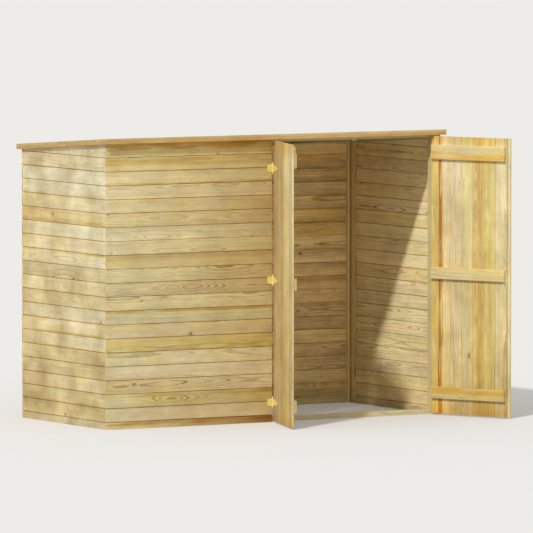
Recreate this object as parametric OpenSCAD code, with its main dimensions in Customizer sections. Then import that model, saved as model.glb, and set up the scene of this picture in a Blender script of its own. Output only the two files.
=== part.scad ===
// Timber bike shelter: a low shed of tongue-and-groove boards with a lean-to
// roof, a closed panel on the left of the front and a pair of ledged doors.
// X runs along the width, the doors face -Y and Z points up. The origin lies
// under the door sill, on its centre line, in the middle of the width.

/* [Overall] */
// Width over the roof
width = 2320; // [2100:10:2600]
// Depth over the roof
depth = 1100; // [1000:10:1300]
// Height of the roof's front edge above the ground
height = 1704; // [1600:2:1900]
// Fall of the roof from front to back
roof_drop = 76; // [40:2:140]

/* [Roof] */
// Thickness of the roof boards, measured straight down
roof_board_t = 16; // [10:1:20]
// Height of the edge strips under the roof boards
edge_strip_h = 16; // [12:1:22]
// Width of the edge strips
edge_strip_w = 18; // [12:1:20]
// Overhang in front of the front wall
overhang_front = 40; // [30:5:60]
// Overhang behind the back wall
overhang_back = 30; // [20:5:50]
// Overhang at each side wall
overhang_side = 20; // [20:5:40]
// Width of a rafter
rafter_w = 28; // [20:1:45]
// Height of a rafter
rafter_h = 36; // [28:1:60]
// Number of rafters, the middle one under the joint of the roof panels
rafters = 3; // [3:2:5]

// Free space between the roof boards and the timber that carries them
seat_gap = 0.2; // [0.2:0.1:0.4]

/* [Boards] */
// Thickness of the wall and door boards
board_t = 12; // [10:1:20]
// Visible height of one board, joint to joint
board_cover = 81.4; // [70:0.2:120]
// Height of the lowest joint above the ground
first_joint = 43; // [30:1:60]
// Width of the V joint on the outer face
vee_w = 6; // [3:0.5:8]
// Depth of the V joint on the outer face
vee_d = 3; // [1.5:0.5:4]
// Width of the V joint on the inner face
back_vee_w = 4; // [2:0.5:6]
// Depth of the V joint on the inner face
back_vee_d = 1.5; // [1:0.5:2.5]

/* [Frame] */
// Thickness of the studs and rails behind the boards
frame_t = 28; // [20:1:45]
// Width of a stud, and height of a rail
frame_w = 36; // [28:1:60]
// Depth of the post at the right of the doorway
right_post_d = 56; // [45:1:80]

/* [Doorway] */
// Width of the closed front panel, from the left wall's outer face
front_panel_w = 1118; // [1000:2:1200]
// Width of the front strip at the right of the doorway, post and board together
right_strip_w = 52; // [44:1:70]
// Height of the door sill
sill_h = 28; // [20:1:45]
// Depth of the door sill
sill_d = 36; // [28:1:60]
// Height of the door head at its front face
head_h = 28; // [24:1:60]
// Free space between the closed doors and the sill and head behind them
stop_gap = 5; // [5:1:8]

/* [Doors] */
// Opening angle of the left door as modelled
left_door_open = 109; // [60:1:150]
// Opening angle of the right door as modelled
right_door_open = 113; // [60:1:150]
// Free space between the two closed doors
meeting_gap = 6; // [5:0.5:10]
// Free space between a hinge pin's axis and the timber on either side of it
pin_side_gap = 2.5; // [1.5:0.5:3]
// Height of the doors' lower edge above the ground
door_foot = 8; // [5:1:15]
// Free space between the doors and the roof's front edge strip
door_top_gap = 5.5; // [5:0.5:10]
// Height of the top ledge of a door
top_ledge_h = 87; // [60:1:110]
// Height of the middle and bottom ledges of a door
ledge_h = 70; // [50:1:110]
// Thickness of the ledges
ledge_t = 18; // [14:1:28]
// Width and depth of the bevel along a ledge's long edges
ledge_bevel = 3; // [1:0.5:8]
// Height of the middle ledge's centre above the ground
middle_ledge_z = 848; // [700:1:950]
// Height of the bottom ledge's centre above the ground
bottom_ledge_z = 134; // [100:1:250]
// Distance of a ledge's end from the door's hinge edge
ledge_hinge_inset = 9; // [6:1:20]
// Distance of a ledge's end from the door's free edge
ledge_free_inset = 4; // [0:1:15]

/* [Cover strip] */
// Width of the strip that covers the joint between the doors
cover_w = 44; // [36:1:60]
// Thickness of the cover strip
cover_t = 16; // [14:1:22]
// How far the cover strip reaches past the right door's free edge
cover_lip = 17; // [14:1:22]
// Free space between the cover strip's lip and the left door
cover_gap = 5; // [5:0.5:6]

/* [Hinges] */
// Distance of the lower hinge's centre from the door's lower edge
hinge_low_inset = 108; // [60:1:300]
// Height of the middle hinge's centre above the ground
hinge_middle_z = 840; // [500:1:1100]
// Distance of the upper hinge's centre from the door's upper edge
hinge_high_inset = 163; // [60:1:300]
// Height of a wall leaf and of a door's strap beside the pin
leaf_h = 47; // [36:1:60]
// Height of a wall leaf at its outer end
leaf_end_h = 42; // [24:1:46]
// Reach of a wall leaf from the pin's axis
leaf_w = 34; // [22:1:38]
// Corner radius at a wall leaf's outer end
leaf_r = 5; // [2:1:8]
// Height of a door's strap at its tip
strap_end_h = 13; // [12:1:30]
// Reach of a door's strap from the pin's axis
strap_w = 125; // [60:1:200]
// Corner radius at a strap's tip
strap_r = 5; // [2:1:6]
// Thickness of a hinge's leaves and straps
leaf_t = 2; // [1.5:0.5:2.5]
// Radius of a hinge knuckle
knuckle_r = 4.5; // [4:0.1:5]
// Radius of the hinge pin
pin_r = 2.5; // [2:0.1:3]
// Radius of the pin's end knobs
knob_r = 3.2; // [3:0.1:3.8]
// Height of a knob above the knuckles
knob_h = 13; // [8:1:18]

/* [Door bolt] */
// Height of the bolt
bolt_h = 35; // [30:1:80]
// Free space between the bolt and the top ledge below it
bolt_ledge_gap = 0.5; // [0.3:0.1:5]
// Width of the bolt's back plate
bolt_plate_w = 26; // [20:1:32]
// Thickness of the bolt's back plate
bolt_plate_t = 1.5; // [1:0.5:3]
// Radius of the bolt's rod
bolt_rod_r = 4; // [3:0.5:5]
// Wall of the guides round the rod
bolt_guide_wall = 2; // [1:0.5:3]
// Height of each guide round the rod
bolt_guide_h = 10; // [6:1:12]
// Radius of the knob that moves the rod
bolt_knob_r = 2.5; // [2:0.5:3.5]
// Distance of the bolt's rod from the left door's free edge
bolt_inset = 20; // [18:1:60]
// Free space between the rod's upper end and the door head
bolt_head_gap = 6; // [5:1:10]

/* [Hidden] */

// Walls: their own corner is the outer front left one, on the ground
wall_w = width - 2 * overhang_side;
wall_d = depth - overhang_front - overhang_back;
middle_x = wall_w / 2;

// Roof: heights of its planes at a distance y behind the front wall's face
fall = roof_drop / depth;
function roof_top(y) = height - (y + overhang_front) * fall;
function roof_seat(y) = roof_top(y) - roof_board_t - seat_gap;

// Inner limits of the frame behind the boards
frame_front = board_t;
frame_back = board_t + frame_t;
back_frame_front = wall_d - board_t - frame_t;
back_frame_back = wall_d - board_t;

// Doorway, between the closed panel and the right post
doorway_left = front_panel_w;
doorway_right = wall_w - right_strip_w;
post_w = right_strip_w - board_t;
stop_y = board_t + stop_gap;
head_back = stop_y + frame_t;
head_z = roof_seat(stop_y) - head_h;

// The origin lies under the sill's centre line
origin_y = stop_y + sill_d / 2;

// Doors, in their own frame: the pin's axis at 0, the closed leaf along +X
pin_out = knuckle_r;
left_pin_x = doorway_left + pin_side_gap;
right_pin_x = doorway_right - pin_side_gap;
leaf_free = (right_pin_x - left_pin_x - meeting_gap) / 2;
leaf_hinge = pin_side_gap;
edge_strip_low = roof_seat(edge_strip_w - overhang_front) - edge_strip_h;
door_top = edge_strip_low - door_top_gap;

// Hinges
hinge_heights = [door_foot + hinge_low_inset, hinge_middle_z, door_top - hinge_high_inset];
knuckle_h = leaf_h / 3;
knuckle_gap = 0.3;
bore_play = 0.05;
knuckle_clear = 0.5;

// Bolt: its lower end, so that the rod ends under the door head, the rod's axis
// in front of the door, and how far the knob stands out. The top ledges of both
// doors end below it.
bolt_foot = head_z - bolt_head_gap - bolt_h;
bolt_guide_r = bolt_rod_r + bolt_guide_wall;
bolt_rod_out = bolt_plate_t + bolt_guide_r;
bolt_knob_out = ledge_t - bolt_knob_r;
top_ledge_z = bolt_foot - bolt_ledge_gap - top_ledge_h / 2;

round_fn = 48;

// Moves a part from the walls' corner to the shelter's origin
module place() {
  translate([-middle_x, -origin_y, 0]) children();
}

// Moves a left-hand leaf, drawn closed on its pin, to the open left door
module place_left_door() {
  place() translate([left_pin_x, -pin_out, 0])
    rotate([0, 0, -left_door_open]) children();
}

// Moves the mirror image of a left-hand leaf to the open right door
module place_right_door() {
  place() translate([right_pin_x, -pin_out, 0])
    rotate([0, 0, right_door_open]) mirror([1, 0, 0]) children();
}

// Joints of a row of boards between a and b, the first one at start
function joints(a, b, start) =
  [for (u = [start : board_cover : b - vee_w]) if (u > a + vee_w) u];

// Section of a row of boards from a to b: the outer face at 0 with V joints
// from one side, the inner face at t with smaller ones from the other
function row_outline(a, b, t, seams) = concat(
  [[a, 0]],
  [for (u = seams) each [[u - vee_w / 2, 0], [u, vee_d], [u + vee_w / 2, 0]]],
  [[b, 0], [b, t]],
  [for (i = [len(seams) - 1 : -1 : 0]) each [
    [seams[i] + back_vee_w / 2, t],
    [seams[i], t - back_vee_d],
    [seams[i] - back_vee_w / 2, t]
  ]],
  [[a, t]]
);

wall_outline = row_outline(0, height, board_t, joints(0, height, first_joint));

// Boards lying along X, from x0 to x1, with their outer face towards -Y
module boards_along_x(x0, x1) {
  translate([x0, 0, 0]) rotate([90, 0, 90]) linear_extrude(x1 - x0)
    polygon([for (p = wall_outline) [p[1], p[0]]]);
}

// Boards lying along Y, from y0 to y1, with their outer face towards -X
module boards_along_y(y0, y1) {
  translate([0, y1, 0]) rotate([90, 0, 0]) linear_extrude(y1 - y0)
    polygon([for (p = wall_outline) [p[1], p[0]]]);
}

// Everything that ends under the roof boards
module under_roof() {
  rotate([90, 0, 90]) linear_extrude(wall_w)
    polygon([[0, 0], [wall_d, 0], [wall_d, roof_seat(wall_d)], [0, roof_seat(0)]]);
}

// A timber from one corner to the opposite one
module timber(from, to) {
  translate(from) cube(to - from);
}

// A stud from the ground to the roof, cut to the roof's slope
module stud(from, to) {
  intersection() {
    timber([from[0], from[1], 0], [to[0], to[1], height]);
    under_roof();
  }
}

// A rail on the ground
module bottom_rail(from, to) {
  timber([from[0], from[1], 0], [to[0], to[1], frame_w]);
}

// A band of the given height under the roof boards, following their slope
module band_under_roof(x0, x1, y0, y1, h) {
  translate([x0, 0, 0]) rotate([90, 0, 90]) linear_extrude(x1 - x0)
    polygon([
      [y0, roof_seat(y0) - h], [y1, roof_seat(y1) - h],
      [y1, roof_seat(y1)], [y0, roof_seat(y0)]
    ]);
}

module front_wall_boards() {
  color("palegoldenrod") place() intersection() {
    boards_along_x(0, front_panel_w);
    under_roof();
  }
}

module left_wall_boards() {
  color("palegoldenrod") place() intersection() {
    boards_along_y(board_t, wall_d - board_t);
    under_roof();
  }
}

module right_wall_boards() {
  color("palegoldenrod") place() intersection() {
    translate([wall_w, 0, 0]) mirror([1, 0, 0]) boards_along_y(0, wall_d - board_t);
    under_roof();
  }
}

module back_wall_boards(x0, x1) {
  color("palegoldenrod") place() intersection() {
    translate([0, wall_d, 0]) mirror([0, 1, 0]) boards_along_x(x0, x1);
    under_roof();
  }
}

module front_wall_studs() {
  last = front_panel_w - frame_w;
  starts = [board_t, (board_t + last) / 2, last];
  color("burlywood") place() {
    stud([starts[0], frame_front], [starts[0] + frame_w, frame_back]);
    stud([starts[2], frame_front], [starts[2] + frame_w, frame_back]);
    // The middle stud stands between the rails
    intersection() {
      timber([starts[1], frame_front, frame_w],
             [starts[1] + frame_w, frame_back, height]);
      translate([0, 0, -frame_w]) under_roof();
    }
  }
}

module front_wall_rails() {
  x0 = board_t + frame_w;
  x1 = front_panel_w - frame_w;
  color("burlywood") place() {
    bottom_rail([x0, frame_front], [x1, frame_back]);
    band_under_roof(x0, x1, frame_front, frame_back, frame_w);
  }
}

module left_wall_studs() {
  color("burlywood") place() {
    stud([board_t, frame_back], [frame_back, frame_back + frame_w]);
    stud([board_t, back_frame_front - frame_w], [frame_back, back_frame_front]);
  }
}

module left_wall_rails() {
  y0 = frame_back + frame_w;
  y1 = back_frame_front - frame_w;
  color("burlywood") place() {
    bottom_rail([board_t, y0], [frame_back, y1]);
    band_under_roof(board_t, frame_back, y0, y1, frame_w);
  }
}

module right_wall_stud() {
  color("burlywood") place()
    stud([wall_w - frame_back, back_frame_front - frame_w],
         [wall_w - board_t, back_frame_front]);
}

module right_wall_rails() {
  x0 = wall_w - frame_back;
  x1 = wall_w - board_t;
  y0 = right_post_d;
  y1 = back_frame_front - frame_w;
  color("burlywood") place() {
    bottom_rail([x0, y0], [x1, y1]);
    band_under_roof(x0, x1, y0, y1, frame_w);
  }
}

module right_front_post() {
  color("burlywood") place()
    stud([doorway_right, 0], [doorway_right + post_w, right_post_d]);
}

// Studs at both ends of a back wall panel from x0 to x1
module back_wall_studs(x0, x1) {
  color("burlywood") place() {
    stud([x0, back_frame_front], [x0 + frame_w, back_frame_back]);
    stud([x1 - frame_w, back_frame_front], [x1, back_frame_back]);
  }
}

// Rails between the studs of a back wall panel from x0 to x1
module back_wall_rails(x0, x1) {
  color("burlywood") place() {
    bottom_rail([x0 + frame_w, back_frame_front], [x1 - frame_w, back_frame_back]);
    band_under_roof(x0 + frame_w, x1 - frame_w, back_frame_front, back_frame_back, frame_w);
  }
}

module door_sill() {
  color("tan") place()
    timber([doorway_left, stop_y, 0], [doorway_right, stop_y + sill_d, sill_h]);
}

module door_head() {
  color("tan") place() intersection() {
    timber([doorway_left, stop_y, head_z], [doorway_right, head_back, height]);
    under_roof();
  }
}

// A row of roof boards along X, from x0 to x1, falling towards the back
module roof_boards(x0, x1) {
  front = -overhang_front;
  back = wall_d + overhang_back;
  outline = row_outline(front, back, roof_board_t,
                        joints(front, back, front + board_cover));
  color("khaki") place() translate([x0, 0, 0]) rotate([90, 0, 90])
    linear_extrude(x1 - x0) polygon([for (p = outline) [p[0], roof_top(p[0]) - p[1]]]);
}

// Rafters between the front and back frames, the end ones left to the walls
module roof_rafters() {
  spacing = wall_w / (rafters + 1);
  color("burlywood") place() for (i = [1 : rafters]) {
    x = i * spacing;
    y0 = x < front_panel_w ? frame_back : head_back;
    band_under_roof(x - rafter_w / 2, x + rafter_w / 2, y0, back_frame_front, rafter_h);
  }
}

module roof_edge_front() {
  color("peru") place()
    band_under_roof(-overhang_side, wall_w + overhang_side,
                    -overhang_front, edge_strip_w - overhang_front, edge_strip_h);
}

module roof_edge_back() {
  back = wall_d + overhang_back;
  color("peru") place()
    band_under_roof(-overhang_side, wall_w + overhang_side,
                    back - edge_strip_w, back, edge_strip_h);
}

module roof_edge_side(x0) {
  color("peru") place()
    band_under_roof(x0, x0 + edge_strip_w, edge_strip_w - overhang_front,
                    wall_d + overhang_back - edge_strip_w, edge_strip_h);
}

// Outline of one hinge leaf that reaches towards +X from the pin's axis
module leaf_outline(reach, end_h, end_r) {
  hull() {
    translate([0, -leaf_h / 2]) square([leaf_t, leaf_h]);
    for (side = [-1, 1])
      translate([reach - end_r, side * (end_h / 2 - end_r)])
        circle(end_r, $fn = round_fn);
  }
}

// Flat part of a leaf against the timber, free of the other leaf's knuckles.
// free lists the heights of the knuckles' centres that it stays clear of.
module leaf_plate(reach, end_h, end_r, free) {
  clear = knuckle_r + knuckle_clear;
  difference() {
    translate([0, pin_out, 0]) rotate([90, 0, 0])
      linear_extrude(leaf_t) leaf_outline(reach, end_h, end_r);
    for (z = free)
      translate([-clear, 0, z - knuckle_h / 2 - knuckle_gap])
        cube([2 * clear, 2 * pin_out, knuckle_h + 2 * knuckle_gap]);
  }
}

// Leaf on the wall, towards -X, with the outer knuckles and the pin
module wall_leaf() {
  mirror([1, 0, 0]) leaf_plate(leaf_w, leaf_end_h, leaf_r, [0]);
  for (side = [-1, 1]) {
    translate([0, 0, side * knuckle_h - knuckle_h / 2])
      cylinder(r = knuckle_r, h = knuckle_h, $fn = round_fn);
    rotate([0, side * 90 - 90, 0]) translate([0, 0, leaf_h / 2]) {
      cylinder(r = knob_r, h = knob_h - knob_r, $fn = round_fn);
      translate([0, 0, knob_h - knob_r]) sphere(knob_r, $fn = round_fn);
    }
  }
  translate([0, 0, -leaf_h / 2]) cylinder(r = pin_r, h = leaf_h, $fn = round_fn);
}

// Strap on the door, towards +X, with the middle knuckle and its bore
module door_leaf() {
  middle_h = knuckle_h - 2 * knuckle_gap;
  difference() {
    union() {
      leaf_plate(strap_w, strap_end_h, strap_r, [-knuckle_h, knuckle_h]);
      translate([0, 0, -middle_h / 2])
        cylinder(r = knuckle_r, h = middle_h, $fn = round_fn);
    }
    translate([0, 0, -knuckle_h])
      cylinder(r = pin_r + bore_play, h = 2 * knuckle_h, $fn = round_fn);
  }
}

module left_hinge_wall_leaves() {
  color("gold") place() for (z = hinge_heights)
    translate([left_pin_x, -pin_out, z]) wall_leaf();
}

module right_hinge_wall_leaves() {
  color("gold") place() for (z = hinge_heights)
    translate([right_pin_x, -pin_out, z]) mirror([1, 0, 0]) wall_leaf();
}

module door_hinge_leaves() {
  for (z = hinge_heights) translate([0, 0, z]) door_leaf();
}

// Upright boards of a door, full ones from the free edge, the last one cut
module door_boards() {
  seams = joints(-leaf_free, -leaf_hinge, board_cover - leaf_free);
  translate([0, pin_out, door_foot]) mirror([1, 0, 0])
    linear_extrude(door_top - door_foot)
      polygon(row_outline(-leaf_free, -leaf_hinge, board_t, seams));
}

// A ledge across a door's inner face, bevelled along both long edges
module ledge(centre, h) {
  x0 = leaf_hinge + ledge_hinge_inset;
  x1 = leaf_free - ledge_free_inset;
  y0 = pin_out + board_t;
  y1 = y0 + ledge_t;
  translate([x0, 0, 0]) rotate([90, 0, 90]) linear_extrude(x1 - x0)
    polygon([
      [y0, centre - h / 2], [y1 - ledge_bevel, centre - h / 2],
      [y1, centre - h / 2 + ledge_bevel], [y1, centre + h / 2 - ledge_bevel],
      [y1 - ledge_bevel, centre + h / 2], [y0, centre + h / 2]
    ]);
}

// Tower bolt above the left door's top ledge: a plate, two round guides, and
// the rod with its knob, drawn back clear of the door head
module door_bolt() {
  translate([leaf_free - bolt_inset, pin_out + board_t, bolt_foot]) {
    translate([-bolt_plate_w / 2, 0, 0]) cube([bolt_plate_w, bolt_plate_t, bolt_h]);
    translate([0, bolt_rod_out, 0]) cylinder(r = bolt_rod_r, h = bolt_h, $fn = round_fn);
    for (z = [0, bolt_h - bolt_guide_h]) translate([0, 0, z]) {
      translate([0, bolt_rod_out, 0])
        cylinder(r = bolt_guide_r, h = bolt_guide_h, $fn = round_fn);
      translate([-bolt_guide_r, 0, 0])
        cube([2 * bolt_guide_r, bolt_rod_out, bolt_guide_h]);
    }
    translate([0, bolt_rod_out, bolt_h / 2]) rotate([-90, 0, 0])
      cylinder(r = bolt_knob_r, h = bolt_knob_out - bolt_rod_out, $fn = round_fn);
    translate([0, bolt_knob_out, bolt_h / 2]) sphere(bolt_knob_r, $fn = round_fn);
  }
}

// Strip on the right door's outer face that covers the joint, with a lip
// that is cut back so that it stays clear of the left door
module door_cover_strip() {
  x1 = leaf_free + cover_lip;
  x0 = x1 - cover_w;
  translate([0, pin_out, door_foot]) linear_extrude(door_top - door_foot)
    polygon([
      [x0, 0], [x0, -cover_t], [x1, -cover_t], [x1, -cover_gap],
      [leaf_free, -cover_gap], [leaf_free, 0]
    ]);
}

front_wall_boards();
left_wall_boards();
right_wall_boards();
back_wall_boards(0, middle_x);  // back_wall_boards_left
back_wall_boards(middle_x, wall_w);  // back_wall_boards_right
front_wall_studs();
front_wall_rails();
left_wall_studs();
left_wall_rails();
right_wall_stud();
right_wall_rails();
right_front_post();
back_wall_studs(board_t, middle_x);  // back_wall_studs_left
back_wall_rails(board_t, middle_x);  // back_wall_rails_left
back_wall_studs(middle_x, wall_w - board_t);  // back_wall_studs_right
back_wall_rails(middle_x, wall_w - board_t);  // back_wall_rails_right
door_sill();
door_head();
roof_boards(-overhang_side, middle_x);  // roof_boards_left
roof_boards(middle_x, wall_w + overhang_side);  // roof_boards_right
roof_rafters();
roof_edge_front();
roof_edge_back();
roof_edge_side(-overhang_side);  // roof_edge_left
roof_edge_side(wall_w + overhang_side - edge_strip_w);  // roof_edge_right
left_hinge_wall_leaves();
right_hinge_wall_leaves();
color("khaki") place_left_door() door_boards();  // left_door_boards
color("palegoldenrod") place_left_door() ledge(top_ledge_z, top_ledge_h);  // left_door_top_ledge
color("palegoldenrod") place_left_door() ledge(middle_ledge_z, ledge_h);  // left_door_middle_ledge
color("palegoldenrod") place_left_door() ledge(bottom_ledge_z, ledge_h);  // left_door_bottom_ledge
color("gold") place_left_door() door_hinge_leaves();  // left_door_hinge_leaves
color("silver") place_left_door() door_bolt();  // left_door_bolt
color("khaki") place_right_door() door_boards();  // right_door_boards
color("palegoldenrod") place_right_door() ledge(top_ledge_z, top_ledge_h);  // right_door_top_ledge
color("palegoldenrod") place_right_door() ledge(middle_ledge_z, ledge_h);  // right_door_middle_ledge
color("palegoldenrod") place_right_door() ledge(bottom_ledge_z, ledge_h);  // right_door_bottom_ledge
color("gold") place_right_door() door_hinge_leaves();  // right_door_hinge_leaves
color("palegoldenrod") place_right_door() door_cover_strip();  // right_door_cover_strip
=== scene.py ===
"""Timber bike shelter: boards, frame timbers, roof, doors and fittings around the CAD frame."""
import math
import random

import bmesh
import bpy
from mathutils import Matrix, Vector


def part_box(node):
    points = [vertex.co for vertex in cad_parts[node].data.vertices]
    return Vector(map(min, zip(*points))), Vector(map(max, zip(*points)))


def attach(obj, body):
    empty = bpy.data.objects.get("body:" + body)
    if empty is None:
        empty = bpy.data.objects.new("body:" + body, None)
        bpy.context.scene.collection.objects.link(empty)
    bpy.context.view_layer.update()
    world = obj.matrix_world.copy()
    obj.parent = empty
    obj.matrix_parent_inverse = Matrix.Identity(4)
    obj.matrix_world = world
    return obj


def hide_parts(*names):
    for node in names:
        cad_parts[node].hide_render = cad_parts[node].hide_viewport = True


bl_info = {
    "name": "Bike Shelter",
    "version": (1, 0, 0),
    "blender": (4, 5, 0),
    "location": "View3D > Sidebar > Bike Shelter",
    "description": "Builds the boards, timbers, doors, hinges and nails of a timber bike shelter",
    "category": "Object",
}

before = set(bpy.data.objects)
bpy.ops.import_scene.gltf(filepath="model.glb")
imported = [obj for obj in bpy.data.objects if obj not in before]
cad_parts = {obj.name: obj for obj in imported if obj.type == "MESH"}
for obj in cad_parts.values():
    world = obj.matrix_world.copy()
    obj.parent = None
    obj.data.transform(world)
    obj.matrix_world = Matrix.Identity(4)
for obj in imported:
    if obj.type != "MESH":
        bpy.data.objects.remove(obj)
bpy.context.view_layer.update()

MM = 0.001
ALONG_X = (1.0, 0.0, 0.0)
ALONG_Y = (0.0, 1.0, 0.0)
UP = (0.0, 0.0, 1.0)
FORWARD = Vector((0.0, -1.0, 0.0))
NOTHING = (0.0, 0.0, 0.0)

# Wall corner: the outer front left corner of the walls, on the ground
CORNER = Vector((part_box("front_wall_boards")[0].x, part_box("front_wall_boards")[0].y, 0.0))

# Sizes of the shelter, in millimetres from the wall corner, as in the part's source
WALL_W = 2280.0
WALL_D = 1030.0
MIDDLE_X = WALL_W / 2
ROOF_FRONT = -40.0
ROOF_BACK = 1060.0
ROOF_SIDE = 20.0
ROOF_TOP = 1704.0
ROOF_FALL = 76.0 / 1100.0
SLOPE = Vector((0.0, ROOF_FALL, 1.0)).normalized()
DOWN_ROOF = (0.0, 1.0, -ROOF_FALL)
ROOF_BOARD_T = 16.0
SEAT_GAP = 0.2
BOARD_T = 12.0
COVER = 81.4
FIRST_JOINT = 43.0
NARROWEST = 6.0
FRAME_T = 28.0
FRAME_W = 36.0
PANEL_END = 1118.0
DOORWAY_END = 2228.0
POST_W = 40.0
POST_D = 56.0
STOP_Y = 17.0
SILL_H = 28.0
SILL_D = 36.0
HEAD_H = 28.0
STRIP_H = 16.0
STRIP_W = 18.0
RAFTER_W = 28.0
RAFTER_H = 36.0

# Sizes of a door, in millimetres from its hinge pin, closed along +X
PIN_OUT = 4.5
PIN_GAP = 2.5
LEAF_FREE = 549.5
DOOR_FOOT = 8.0
LEDGE_T = 18.0
LEDGE_BEVEL = 3.0
LEDGE_INSET = 9.0
LEDGE_FREE_INSET = 4.0
COVER_W = 44.0
COVER_T = 16.0
COVER_LIP = 17.0
COVER_GAP = 5.0
LEVELS = ("top", "middle", "bottom")
DOOR_OPEN = {"left": -109.0, "right": 113.0}
PIN_X = {"left": PANEL_END + PIN_GAP, "right": DOORWAY_END - PIN_GAP}

# Hinge leaves and bolt
LEAF_T = 2.0
STRAP_W = 125.0
WALL_SCREWS = ((12.0, 14.5), (12.0, -14.5), (26.0, 12.0), (26.0, -12.0))
DOOR_SCREWS = ((14.0, 13.0), (14.0, -13.0), (45.0, 0.0), (80.0, 0.0), (112.0, 0.0))
BOLT_INSET = 20.0
BOLT_PLATE_T = 1.5
BOLT_SCREW_UP = 17.5
BOLT_SCREW_OUT = 9.5
BOLT_SCREW_R = 0.0024

# Heads of nails and screws: rings by radius and height, as shares of the head's radius
HEAD_SIDES = 12
NAIL_RINGS = ((1.0, 0.0), (0.96, 0.16), (0.72, 0.3), (0.34, 0.37))
SCREW_RINGS = ((1.0, 0.0), (0.95, 0.14), (0.66, 0.2), (0.62, 0.2))

# Cross recess of a screw: its reaches in turn round the innermost ring, and its depth
CROSS_REACH = (0.6, 0.2, 0.2)
CROSS_DEPTH = 0.3

# Heads are shaded round over edges up to this angle, and sharper edges of plates are bevelled
SMOOTH_ANGLE = math.radians(40.0)

# Places of nails: shares of a board's cover, and else millimetres
NAIL_SHARES = (0.24, 0.76)
DOOR_NAILS = ((0.28, 16.0), (0.72, -16.0))
NAIL_JOG = 2.5
NAIL_EDGE = 22.0
NAIL_CLEAR = 8.0
SUNK = 0.3

# Joints of the boards in metres: the groove runs between two shares of the thickness
TONGUE_L = 0.005
GROOVE_L = 0.006
GROOVE_FROM = 0.45
GROOVE_TO = 0.7
SLACK = 0.0002
EDGE_SOFT = 0.0005

# Middle point of a rounded edge, as a share of its radius from each face
ARC_MIDDLE = 0.293

# Length of a timber's end that is coloured by its soak, in metres
SOAK_L = 0.085

# Depth of the pith behind a board's face at an eye of rings, in metres
EYE_DEPTH = 0.04

# Place of a timber in its log, in metres, and of the pith across it, in its widths
LOG_L = 40.0
PITH_DEPTH = (0.016, 0.065)
PITH_ACROSS = (-0.2, 1.2)

# Resin band at a board's edge: its middle and half width in millimetres, and its strength
BANDS = ((3.0, 7.0), (3.5, 7.0), (0.35, 0.9))

# How timbers differ in tone, heartwood and warmth, and from their low side to their high one
TONE_SPREAD = 0.42
HEART_SHARES = (0.0, 0.0, 0.2, 0.4, 0.7)
WARMTH = 0.03
SLANT = 0.12

# How boards differ: the joint as a share of the usual gap, and the warp in metres
JOINT_SHARES = (0.3, 1.1)
WARP = 0.0004

# Key light, camera and floor, in metres and degrees, with the lens in millimetres
KEY_TOWARDS = Vector((0.593, 0.395, -0.702))
KEY_WIDTH = 3.0
CAMERA_AT = (-24.17067, -41.37008, 4.06233)
CAMERA_DOWN = 3.755
CAMERA_TURN = -30.256
CAMERA_LENS = 549.15
FLOOR_REACH = 400.0

# What a board's mesh tells its finish at each corner of a face
BOARD_VECTORS = ("grain", "board", "tint", "stripe", "mark")

# Tints of timber, as multiples of its plain colour
TINTS = {
    "plain": (1.0, 1.0, 1.0),
    "pale": (1.03, 1.05, 1.12),
    "cream": (1.04, 1.04, 1.02),
    "yellow": (0.99, 0.96, 0.77),
    "olive": (0.93, 0.91, 0.77),
    "green": (0.97, 0.99, 0.96),
    "pink": (1.03, 0.98, 1.04),
    "rose": (0.96, 0.80, 0.74),
    "tan": (0.86, 0.79, 0.65),
    "orange": (0.95, 0.79, 0.50),
    "brown": (0.76, 0.66, 0.48),
    # The two inside tints are painted light: they make inner faces paler and warmer for light
    # bounced about inside and sunlight let in by the doorway
    "painted warm bounce": (1.30, 1.12, 0.93),
    "painted inside light": (1.50, 1.50, 1.43),
    "deep yellow": (1.04, 0.96, 0.62),
    "lemon": (1.02, 1.06, 0.84),
    "ochre": (0.84, 0.75, 0.40),
    "amber": (1.00, 0.86, 0.60),
    "moss": (0.78, 0.77, 0.58),
    "sand": (0.95, 0.87, 0.76),
    "gold": (1.05, 1.00, 0.72),
    "dusk": (0.88, 0.80, 0.76),
    "rust": (0.42, 0.27, 0.10),
    "cool": (1.01, 1.02, 1.09),
    # Joint: dirt and painted shade on the faces inside the gaps between boards
    "joint": (0.60, 0.40, 0.20),
}
# The back studs take the pale inside tint, painted light on their faces
FRAME_TINTS = {
    "right_wall_stud": "orange",
    "back_wall_studs_left": "painted inside light",
    "back_wall_studs_right": "painted inside light",
}


def srgb(*channels):
    """Linear colour of three display values from 0 to 255."""
    return tuple(c / 12.92 if c <= 0.04045 else ((c + 0.055) / 1.055) ** 2.4
                 for c in (channel / 255.0 for channel in channels))


def colour_property(name, description, default):
    return bpy.props.FloatVectorProperty(
        name=name, description=description, default=srgb(*default),
        subtype="COLOR", size=3, min=0.0, max=1.0,
    )


def length_property(name, description, default, low, high):
    return bpy.props.FloatProperty(
        name=name, description=description, default=default, min=low, max=high,
        unit="LENGTH", precision=4,
    )


def strength_property(name, description, default, high):
    return bpy.props.FloatProperty(
        name=name, description=description, default=default, min=0.0, max=high)


class ShelterTimberSettings(bpy.types.PropertyGroup):
    """Sizes of the boards' joints, the timbers' edges and the nails."""

    joint_gap: length_property(
        "Joint Gap", "Open gap between two boards", 0.0014, 0.0002, 0.003)
    joint_bevel: length_property(
        "Joint Bevel", "Bevel along a board's outer edges", 0.0016, 0.001, 0.005)
    back_bevel: length_property(
        "Back Bevel", "Bevel along a board's inner edges", 0.0015, 0.0005, 0.003)
    arris: length_property(
        "Arris", "Rounding of planed timber edges", 0.0014, 0.0003, 0.004)
    nail_radius: length_property(
        "Nail Radius", "Radius of a nail head", 0.0022, 0.001, 0.005)
    screw_radius: length_property(
        "Screw Radius", "Radius of a screw head", 0.0034, 0.002, 0.005)


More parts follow.
